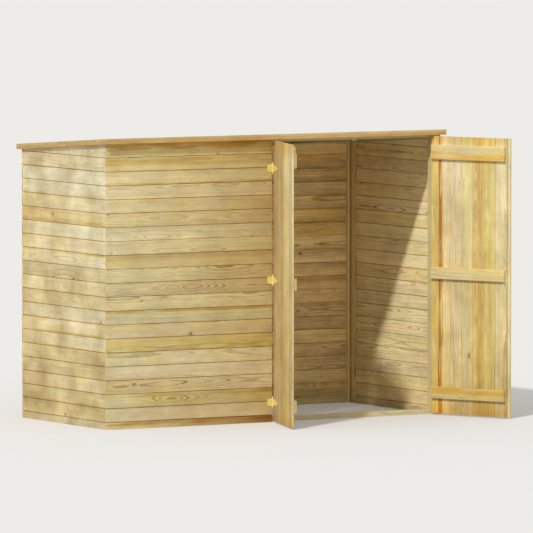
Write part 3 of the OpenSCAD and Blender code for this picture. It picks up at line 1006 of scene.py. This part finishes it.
LEFT_LOOKS = dict(enumerate((
    tinted("plain", "tan", tone=0.3),
    tinted("tan", "yellow", tone=0.0, slant=-0.2, joint=1.3),
    tinted("olive", "tan", tone=0.2, joint=1.2),
    tinted("plain", "sand", joint=1.2),
    tinted("tan", "olive", tone=0.2, joint=1.0),
    tinted("tan", "yellow", tone=0.2, joint=1.4),
    tinted("pale", "tan", tone=0.3, joint=1.1),
    tinted("pale", "sand"),
    tinted("plain", "sand", joint=1.2),
    tinted("olive", "tan", joint=1.3),
    tinted("olive", "yellow", tone=0.2, joint=1.0),
    tinted("olive", "tan", mark=(500.0, 4.0, -14.0), tone=-0.6, heart=0.0),
    tinted("plain", "tan", stripe=(76.0, 7.0, 0.9), joint=1.2),
    tinted("pale", "tan", joint=1.9, tone=0.2),
    tinted("pale", "sand", joint=0.9),
    tinted("olive", "amber", tone=-0.3, stripe=(8.0, 10.0, 0.9), joint=1.5),
    tinted("plain", "yellow", tone=-0.4, joint=1.2),
    tinted("pale", "cream", joint=1.1),
    tinted("pale", "plain", joint=1.2),
    tinted("plain", "sand", joint=1.2),
    tinted("plain", "sand", joint=1.2),
)))
RIGHT_LOOKS = {i: tinted(tone=tone) for i, tone in (
    (8, -0.2), (10, -0.4), (13, 0.4), (15, 0.4), (16, -0.5), (17, 0.2))}
# Slants on these back boards are painted light, paler or darker across each board as light falls
# inside, and the top board's high tone is painted light where the door head shades it
BACK_LOOKS = dict(enumerate((
    tinted(tone=0.7, slant=-0.2),
    tinted(tone=-0.3, slant=-0.4),
    tinted(tone=0.3, slant=-0.5),
    tinted(tone=1.1, slant=-0.5),
    tinted("cream", tone=0.9, slant=0.3),
    tinted("amber", "yellow", tone=0.0, slant=-0.2),
    tinted("yellow", tone=0.4, slant=0.4),
    tinted(tone=0.8, slant=0.3),
    tinted(tone=0.1, slant=0.4),
    tinted(tone=-0.5, slant=0.45),
    tinted(tone=-0.5, slant=0.45),
    tinted(tone=2.2, slant=-0.2),
), start=8))
DOOR_LOOKS = {
    "left": dict(enumerate((
        tinted("tan", "cream", tone=-0.7),
        tinted("tan", "pale", tone=0.9, heart=0.0, joint=2.2),
        tinted("brown", "pale", tone=1.2, heart=0.0, joint=0.1),
        tinted("tan", tone=0.0, joint=1.4),
        tinted("dusk", tone=0.1, joint=2.0),
        tinted("dusk", tone=-0.1, joint=1.2),
        tinted("rose", tone=-1.4, joint=2.2),
    ))),
    "right": dict(enumerate((
        tinted("tan", "pale", tone=1.1, heart=0.0),
        tinted("ochre", "lemon", tone=0.3, heart=0.0, stripe=(54.0, 28.0, 0.15), joint=0.5),
        tinted("ochre", "gold", tone=0.4, heart=0.0, stripe=(34.0, 24.0, 0.3), joint=0.3),
        tinted("tan", "lemon", tone=0.9, mark=(355.0, 27.0, 10.0), joint=0.3),
        tinted("olive", "pale", tone=0.6, heart=0.0, stripe=(58.0, 18.0, 0.25), joint=0.2),
        tinted("deep yellow", "cream", tone=0.7, heart=0.0, stripe=(72.0, 15.0, 1.1),
               joint=0.3),
        tinted("ochre", "deep yellow", tone=0.9, stripe=(2.0, 6.0, 0.7), joint=0.5),
    ))),
}
LEDGE_LOOKS = {
    "left": {level: tinted("tan") for level in LEVELS},
    "right": {
        "top": tinted("cream", stripe=(14.0, 30.0, 1.2)),
        "middle": tinted("plain", "yellow", stripe=(64.0, 12.0, 0.5)),
        "bottom": tinted("plain", "yellow", tone=-0.6, stripe=(50.0, 24.0, 1.0)),
    },
}


# Operators

class ShelterOperator(bpy.types.Operator):
    """Common part of the shelter's operators."""

    bl_options = {"REGISTER", "UNDO"}


class SHELTER_OT_finishes(ShelterOperator):
    """Make the pine and plating finishes"""

    bl_idname = "shelter.finishes"
    bl_label = "Finishes"

    def execute(self, context):
        build_pine_group()
        build_plating_group()
        pine_material("Wall Boards Pine", stain=0.4, weather=0.5, streaks=0.34)
        pine_material("Back Boards Pine", stain=0.4, streaks=0.55, ring_contrast=1.2)
        # The side boards' strong weather marks are also painted leaf shadows
        pine_material("Side Boards Pine", stain=0.35, streaks=0.32, ring_contrast=0.5,
                      weather=1.3, pink_stain=srgb(212, 194, 146), band=srgb(190, 164, 72))
        pine_material("Door Boards Pine", ring_contrast=0.6, streaks=0.42, weather=0.8,
                      knot_spacing=0.8, band=srgb(180, 122, 42), knot=srgb(150, 114, 70),
                      knot_size=0.012)
        pine_material("Batten Pine", ring_contrast=0.7, knot_spacing=0.8,
                      band=srgb(208, 168, 80), knot=srgb(150, 114, 70))
        pine_material("Frame Pine")
        pine_material("Roof Boards Pine")
        pine_material("Edge Strip Pine", stain=0.3, early_wood=srgb(188, 136, 65),
                      late_wood=srgb(142, 90, 38))
        metal = context.scene.shelter_metal
        plating_material("Hinge Plating", metal.hinge_plate, metal.hinge_dull, 0.4, 0.25)
        plating_material("Bolt Plating", metal.bolt_plate, metal.bolt_dull, 0.5, 0.25)
        plating_material("Nail Steel", metal.nail, metal.bolt_dull, 0.2, 0.4)
        return {"FINISHED"}


class SHELTER_OT_wall_boards(ShelterOperator):
    """Lay the tongue-and-groove boards of the four walls"""

    bl_idname = "shelter.wall_boards"
    bl_label = "Wall Boards"

    def execute(self, context):
        cuts = [roof_cut()]

        # Inner faces of the walls are tinted paler and warmer: painted light from bounce and the
        # sun inside
        def lay(finish, node, top, length, place, cuts, looks, inner="painted warm bounce", **values):
            lay_piece(finish, "wall_boards", node, [
                (lay_boards, 0.0, top, FIRST_JOINT, length, place, BOARD_T, cuts, looks)
            ], inner=inner, **values)

        lay("Wall Boards Pine", "front_wall_boards", roof_seat(BOARD_T), PANEL_END,
            wall_place(0.0, 0.0, 0.0, ALONG_X, UP, ALONG_Y), (), FRONT_LOOKS)
        lay("Side Boards Pine", "left_wall_boards", ROOF_TOP, WALL_D - 2 * BOARD_T,
            wall_place(0.0, BOARD_T, 0.0, ALONG_Y, UP, ALONG_X), cuts, LEFT_LOOKS,
            tint="cool", edge_bands=0.25, spread=0.6)
        # The right wall's inner faces are the palest: painted light of the sun let in by the
        # doorway
        lay("Wall Boards Pine", "right_wall_boards", ROOF_TOP, WALL_D - BOARD_T,
            wall_place(WALL_W, 0.0, 0.0, ALONG_Y, UP, opposite(ALONG_X)), cuts, RIGHT_LOOKS,
            inner="painted inside light", spread=1.4)
        for side, x0 in (("left", 0.0), ("right", MIDDLE_X)):
            lay("Back Boards Pine", "back_wall_boards_" + side, roof_seat(WALL_D), MIDDLE_X,
                wall_place(x0, WALL_D, 0.0, ALONG_X, UP, opposite(ALONG_Y)), (), BACK_LOOKS,
                edge_bands=0.8, spread=2.2)
        return {"FINISHED"}


class SHELTER_OT_frame_timbers(ShelterOperator):
    """Set up the studs, rails, rafters, post, sill and head"""

    bl_idname = "shelter.frame_timbers"
    bl_label = "Frame Timbers"

    def execute(self, context):
        inner_x = WALL_W - BOARD_T - FRAME_T
        back_y = WALL_D - BOARD_T - FRAME_T
        side_y0 = BOARD_T + FRAME_T
        side_y1 = back_y - FRAME_W
        end_x = PANEL_END - FRAME_W

        def rails(*place):
            return [(rail, *place, FRAME_T, FRAME_W, low) for low in (True, False)]

        pieces = [
            ("front_wall_studs", [
                (stud, BOARD_T, BOARD_T, FRAME_W, FRAME_T),
                (stud, end_x, BOARD_T, FRAME_W, FRAME_T),
                (lay_timber, FRAME_W, FRAME_T, roof_seat(side_y0) - 2 * FRAME_W, wall_place(
                    (BOARD_T + end_x) / 2, BOARD_T, FRAME_W, UP, ALONG_X, ALONG_Y)),
            ]),
            ("front_wall_rails", rails("X", BOARD_T + FRAME_W, end_x, BOARD_T)),
            ("left_wall_studs", [
                (stud, BOARD_T, y, FRAME_T, FRAME_W) for y in (side_y0, side_y1)]),
            ("left_wall_rails", rails("Y", side_y0 + FRAME_W, side_y1, BOARD_T)),
            ("right_wall_stud", [(stud, inner_x, side_y1, FRAME_T, FRAME_W)]),
            ("right_wall_rails", rails("Y", POST_D, side_y1, inner_x)),
            ("right_front_post", [(stud, DOORWAY_END, 0.0, POST_W, POST_D)]),
        ]
        for side, x0, x1 in (("left", BOARD_T, MIDDLE_X), ("right", MIDDLE_X, WALL_W - BOARD_T)):
            pieces += [
                ("back_wall_studs_" + side, [
                    (stud, x, back_y, FRAME_W, FRAME_T) for x in (x0, x1 - FRAME_W)]),
                ("back_wall_rails_" + side, rails("X", x0 + FRAME_W, x1 - FRAME_W, back_y)),
            ]
        pieces += [
            ("door_sill", [
                (rail, "X", PANEL_END, DOORWAY_END, STOP_Y, SILL_D, SILL_H, True)]),
            ("door_head", [
                (lay_timber, 2 * HEAD_H, FRAME_T, DOORWAY_END - PANEL_END, wall_place(
                    PANEL_END, STOP_Y, roof_seat(STOP_Y) - HEAD_H, ALONG_X, UP, ALONG_Y),
                 [roof_cut()])]),
            ("roof_rafters", [
                (rail, "Y", side_y0 if x < PANEL_END else STOP_Y + FRAME_T, back_y,
                 x - RAFTER_W / 2, RAFTER_W, RAFTER_H)
                for x in (0.25 * WALL_W, 0.5 * WALL_W, 0.75 * WALL_W)]),
        ]
        for node, timbers in pieces:
            lay_piece("Frame Pine", "frame_timber", node, timbers,
                      tint=FRAME_TINTS.get(node, "plain"))
        return {"FINISHED"}


class SHELTER_OT_roof(ShelterOperator):
    """Lay the roof boards and the strips along the roof's edges"""

    bl_idname = "shelter.roof"
    bl_label = "Roof"

    def execute(self, context):
        top = ROOF_TOP + ROOF_FRONT * ROOF_FALL
        x0 = -ROOF_SIDE
        x1 = WALL_W + ROOF_SIDE
        for node, start, end in (("roof_boards_left", x0, MIDDLE_X),
                                 ("roof_boards_right", MIDDLE_X, x1)):
            lay_piece("Roof Boards Pine", "roof_boards", node, [
                (lay_boards, ROOF_FRONT, ROOF_BACK, ROOF_FRONT + COVER, end - start,
                 wall_place(start, 0.0, top, ALONG_X, DOWN_ROOF, opposite(UP)), ROOF_BOARD_T)
            ], tint="tan")
        y0 = ROOF_FRONT + STRIP_W
        y1 = ROOF_BACK - STRIP_W
        for edge, *place in (
                ("front", "X", x0, x1, ROOF_FRONT), ("back", "X", x0, x1, y1),
                ("left", "Y", y0, y1, x0), ("right", "Y", y0, y1, x1 - STRIP_W)):
            lay_piece("Edge Strip Pine", "roof_edge_strips", "roof_edge_" + edge,
                      [(rail, *place, STRIP_W, STRIP_H)])
        return {"FINISHED"}


class SHELTER_OT_doors(ShelterOperator):
    """Build the two ledged doors and the strip that covers their joint"""

    bl_idname = "shelter.doors"
    bl_label = "Doors"

    def execute(self, context):
        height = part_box("left_door_boards")[1].z / MM - DOOR_FOOT
        start = PIN_GAP + LEDGE_INSET
        length = LEAF_FREE - LEDGE_FREE_INSET - start
        for side in ("left", "right"):
            body = side + "_door"
            lay_piece("Door Boards Pine", "door_boards", body + "_boards", [
                (lay_boards, 0.0, LEAF_FREE - PIN_GAP, COVER, height,
                 leaf_place(side, LEAF_FREE, PIN_OUT, DOOR_FOOT, UP, opposite(ALONG_X), ALONG_Y),
                 BOARD_T, (), DOOR_LOOKS[side])
            ], body, soak="orange")
            for level in LEVELS:
                node = "{}_{}_ledge".format(body, level)
                low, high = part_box(node)
                lay_piece("Batten Pine", "door_battens", node, [
                    (Pile.add, self.ledge_outline(high.z - low.z), length * MM, leaf_place(
                        side, start, PIN_OUT + BOARD_T, low.z / MM, ALONG_X, UP, ALONG_Y),
                     (), LEDGE_LOOKS[side][level])
                ], body)
        lay_piece("Batten Pine", "door_battens", "right_door_cover_strip", [
            (Pile.add, self.cover_outline(), height * MM, leaf_place(
                "right", LEAF_FREE, PIN_OUT, DOOR_FOOT, UP, ALONG_X, ALONG_Y),
             (), tinted("cream", "pale", tone=0.2))
        ], "right_door")
        return {"FINISHED"}

    def ledge_outline(self, height):
        """Section of a ledge with two bevelled edges, in metres."""
        depth = LEDGE_T * MM
        bevel = LEDGE_BEVEL * MM
        soft = EDGE_SOFT
        round_off = soft * 0.4
        low = [
            (0.0, 0.0), (0.0, depth - bevel - soft), (round_off, depth - bevel + soft),
            (bevel - soft, depth - round_off), (bevel + soft, depth),
        ]
        return low + [(height - v, w) for v, w in low[::-1]]

    def cover_outline(self):
        """Section of the cover strip with its lip over the left door, in metres."""
        end = COVER_LIP * MM
        start = end - COVER_W * MM
        face = -COVER_T * MM
        lip = -COVER_GAP * MM
        soft = 0.002
        round_off = soft * 0.3
        return [
            (start, 0.0), (start, face + soft), (start + round_off, face + round_off),
            (start + soft, face), (end - soft, face), (end - round_off, face + round_off),
            (end, face + soft), (end, lip), (0.0, lip), (0.0, 0.0),
        ]


class SHELTER_OT_fittings(ShelterOperator):
    """Finish the hinges and the bolt and drive their screws"""

    bl_idname = "shelter.fittings"
    bl_label = "Hinges and Bolt"

    def execute(self, context):
        for node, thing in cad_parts.items():
            if "hinge" in node or "bolt" in node:
                self.plate(thing, "Hinge Plating" if "hinge" in node else "Bolt Plating")
        radius = context.scene.shelter_timber.screw_radius
        heights = self.hinge_heights()
        for side, sign in (("left", -1.0), ("right", 1.0)):
            place = door_place(side)
            outward = place.to_3x3() @ FORWARD
            wall_spots = [
                (wall_point(PIN_X[side] + sign * x, -LEAF_T, z + dz), FORWARD)
                for z in heights for x, dz in WALL_SCREWS]
            door_spots = [
                (place @ (Vector((x, PIN_OUT - LEAF_T, z + dz)) * MM), outward)
                for z in heights for x, dz in DOOR_SCREWS]
            for part, body, spots in (("wall", "root", wall_spots),
                                      ("door", side + "_door", door_spots)):
                nail_heads("{}_hinge_{}_screws".format(side, part), body, spots, radius,
                           "Hinge Plating", "hinge_metal", cross=True)
        place = door_place("left")
        plate_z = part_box("left_door_bolt")[0].z / MM + BOLT_SCREW_UP
        spots = [(place @ (Vector((LEAF_FREE - BOLT_INSET + dx, PIN_OUT + BOARD_T + BOLT_PLATE_T,
                                   plate_z)) * MM), place.to_3x3() @ Vector(ALONG_Y))
                 for dx in (-BOLT_SCREW_OUT, BOLT_SCREW_OUT)]
        nail_heads("bolt_screws", "left_door", spots, BOLT_SCREW_R, "Bolt Plating", "bolt_metal",
                   cross=True)
        return {"FINISHED"}

    def plate(self, thing, finish):
        """The finish and soft edges of a metal node."""
        thing.data.materials.clear()
        thing.data.materials.append(bpy.data.materials[finish])
        soften = thing.modifiers.new("Soft Edges", "BEVEL")
        soften.width = 0.0003
        soften.segments = 2
        soften.limit_method = "ANGLE"
        soften.angle_limit = SMOOTH_ANGLE

    def hinge_heights(self):
        """Centres of the hinges, in millimetres above the ground."""
        levels = sorted({round(v.co.z / MM, 2)
                         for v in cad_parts["left_door_hinge_leaves"].data.vertices})
        groups = []
        for level in levels:
            if groups and level - groups[-1][-1] < 100.0:
                groups[-1].append(level)
            else:
                groups.append([level])
        return [(group[0] + group[-1]) / 2 for group in groups]


class SHELTER_OT_nails(ShelterOperator):
    """Drive the nails of the walls, the roof and the doors"""

    bl_idname = "shelter.nails"
    bl_label = "Nails"

    def execute(self, context):
        self.radius = context.scene.shelter_timber.nail_radius
        self.dice = random.Random("nails")
        leftward = Vector(opposite(ALONG_X))
        half = FRAME_W / 2
        back_y = WALL_D - BOARD_T - FRAME_T - half
        left_x = BOARD_T + half
        for wall, direction, face, lines in (
                ("front", FORWARD, SUNK,
                 (left_x, (BOARD_T + PANEL_END) / 2, PANEL_END - half)),
                ("left", leftward, SUNK, (BOARD_T + FRAME_T + half, back_y)),
                ("right", -leftward, WALL_W - SUNK, (POST_D / 2, back_y)),
                ("back", -FORWARD, WALL_D - SUNK,
                 (left_x, MIDDLE_X - half, MIDDLE_X + half, WALL_W - left_x))):
            self.drive(wall + "_wall_nails", "root", [
                spot for line in lines for spot in self.wall_spots(line, face, direction)])
        self.drive("roof_nails", "root", self.roof_spots())
        for side in ("left", "right"):
            self.drive(side + "_door_nails", side + "_door", self.door_spots(side))
        return {"FINISHED"}

    def jog(self):
        """How far a nail stands off its line, in millimetres."""
        return self.dice.uniform(-NAIL_JOG, NAIL_JOG)

    def drive(self, name, body, spots):
        nail_heads(name, body, spots, self.radius, "Nail Steel", "bolt_metal")

    def wall_spots(self, line, face, direction):
        """Nails one over another, with line their place along the wall and face across it."""
        spots = []
        for z in wall_rows(roof_seat(line if direction.x else face)):
            at = line + self.jog()
            x, y = (face, at) if direction.x else (at, face)
            spots.append((wall_point(x, y, z + self.jog()), direction))
        return spots

    def roof_spots(self):
        """Nails over the edge strips, wall frames, rafters and the roof's middle joint."""
        spots = []
        over_strip = -ROOF_SIDE + STRIP_W / 2
        over_frame = BOARD_T + FRAME_T / 2
        off_joint = RAFTER_W / 4
        for x in (over_strip, over_frame, WALL_W * 0.25, MIDDLE_X - off_joint,
                  MIDDLE_X + off_joint, WALL_W * 0.75, WALL_W - over_frame,
                  WALL_W - over_strip):
            for row in nail_rows(ROOF_FRONT, ROOF_BACK):
                y = row + self.jog()
                if y < ROOF_BACK - NAIL_CLEAR:
                    z = ROOF_TOP - (y - ROOF_FRONT) * ROOF_FALL - SUNK
                    spots.append((wall_point(x + self.jog() * 0.8, y, z), SLOPE))
        return spots

    def door_spots(self, side):
        """Nails through a door's boards into its ledges, clear of straps and cover strip."""
        place = door_place(side)
        outward = place.to_3x3() @ FORWARD
        free = LEAF_FREE if side == "left" else LEAF_FREE - COVER_W + COVER_LIP - 5.0
        spots = []
        for level in LEVELS:
            low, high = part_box("{}_door_{}_ledge".format(side, level))
            middle = (low.z + high.z) / 2 / MM
            edge = 0.0
            while edge < LEAF_FREE:
                for share, dz in DOOR_NAILS:
                    x = LEAF_FREE - edge - share * COVER
                    if x > STRAP_W + NAIL_CLEAR:
                        point = Vector((x + self.jog(), PIN_OUT + SUNK, middle + dz)) * MM
                        if x < free:
                            spots.append((place @ point, outward))
                edge += COVER
        return spots


class SHELTER_OT_stage(ShelterOperator):
    """Set up the floor, the lights, the world and the camera"""

    bl_idname = "shelter.stage"
    bl_label = "Stage"

    def execute(self, context):
        scene = context.scene
        settings = scene.shelter_stage
        self.floor(settings)
        self.world(scene, settings)
        key = bpy.data.lights.new("Key Light", "SUN")
        key.energy = settings.key
        key.angle = math.radians(KEY_WIDTH)
        key_object = bpy.data.objects.new("Key Light", key)
        key_object.rotation_euler = KEY_TOWARDS.to_track_quat("-Z", "Y").to_euler()
        camera = bpy.data.cameras.new("Camera")
        camera.lens = CAMERA_LENS
        camera.sensor_width = 36.0
        camera.clip_start = 1.0
        camera.clip_end = 2000.0
        eye = bpy.data.objects.new("Camera", camera)
        eye.location = CAMERA_AT
        eye.rotation_euler = (math.radians(90.0 - CAMERA_DOWN), 0.0, math.radians(CAMERA_TURN))
        for thing in (key_object, eye):
            scene.collection.objects.link(thing)
        scene.camera = eye
        scene.view_settings.view_transform = "Standard"
        return {"FINISHED"}

    def shown(self, wires):
        """1 for rays from the camera and in mirrors and glass, 0 for the rest."""
        path = wires.node("LightPath")
        rays = wires.math("ADD", path.outputs["Is Camera Ray"], path.outputs["Is Glossy Ray"])
        return wires.math("ADD", rays, path.outputs["Is Transmission Ray"], clamp=True)

    def floor(self, settings):
        mesh = bpy.data.meshes.new("floor")
        mesh.from_pydata(
            [(x * FLOOR_REACH, y * FLOOR_REACH, 0.0) for x, y in (
                (-1.0, -1.0), (1.0, -1.0), (1.0, 1.0), (-1.0, 1.0))],
            [], [(0, 1, 2, 3)])
        floor = bpy.data.objects.new("floor", mesh)
        bpy.context.scene.collection.objects.link(floor)
        material, wires, shader = new_material("Floor")
        shader.inputs["Base Color"].default_value = (*settings.floor, 1.0)
        shader.inputs["Roughness"].default_value = 0.9
        shader.inputs["Specular IOR Level"].default_value = 0.0
        glow = wires.node("Emission", {
            "Strength": wires.times(self.shown(wires), settings.floor_glow)})
        both = wires.node("AddShader", {0: shader.outputs[0], 1: glow.outputs[0]})
        output = [n for n in material.node_tree.nodes if n.type == "OUTPUT_MATERIAL"][0]
        wires.feed(output.inputs["Surface"], both.outputs[0])
        mesh.materials.append(material)

    def world(self, scene, settings):
        world = bpy.data.worlds.new("Studio")
        world.use_nodes = True
        world.node_tree.nodes.clear()
        wires = Wires(world.node_tree)
        even, white = (wires.node("Background", {"Color": (1.0, 1.0, 1.0, 1.0), "Strength": power})
                       for power in (settings.sky, 1.0))
        choice = wires.node("MixShader", {
            0: self.shown(wires), 1: even.outputs[0], 2: white.outputs[0]})
        wires.node("OutputWorld", {"Surface": choice.outputs[0]})
        scene.world = world


class SHELTER_PT_sidebar(bpy.types.Panel):
    """Sidebar with the shelter's settings and steps"""

    bl_idname = "SHELTER_PT_sidebar"
    bl_label = "Bike Shelter"
    bl_space_type = "VIEW_3D"
    bl_region_type = "UI"
    bl_category = "Bike Shelter"

    def draw(self, context):
        for attribute, group in SETTINGS.items():
            box = self.layout.box()
            box.label(text=group.__doc__)
            for name in group.__annotations__:
                box.prop(getattr(context.scene, attribute), name)
        for step in STEPS:
            self.layout.operator(step.bl_idname)


SETTINGS = {
    "shelter_timber": ShelterTimberSettings,
    "shelter_wood": ShelterWoodSettings,
    "shelter_metal": ShelterMetalSettings,
    "shelter_stage": ShelterStageSettings,
}
STEPS = (
    SHELTER_OT_finishes, SHELTER_OT_wall_boards, SHELTER_OT_frame_timbers, SHELTER_OT_roof,
    SHELTER_OT_doors, SHELTER_OT_fittings, SHELTER_OT_nails, SHELTER_OT_stage,
)
CLASSES = (*SETTINGS.values(), *STEPS, SHELTER_PT_sidebar)


def register():
    for entry in CLASSES:
        bpy.utils.register_class(entry)
    for attribute, group in SETTINGS.items():
        setattr(bpy.types.Scene, attribute, bpy.props.PointerProperty(type=group))


def unregister():
    for attribute in SETTINGS:
        delattr(bpy.types.Scene, attribute)
    for entry in reversed(CLASSES):
        bpy.utils.unregister_class(entry)


def main():
    register()
    for step in STEPS:
        area, name = step.bl_idname.split(".")
        getattr(getattr(bpy.ops, area), name)()


if __name__ == "__main__":
    main()
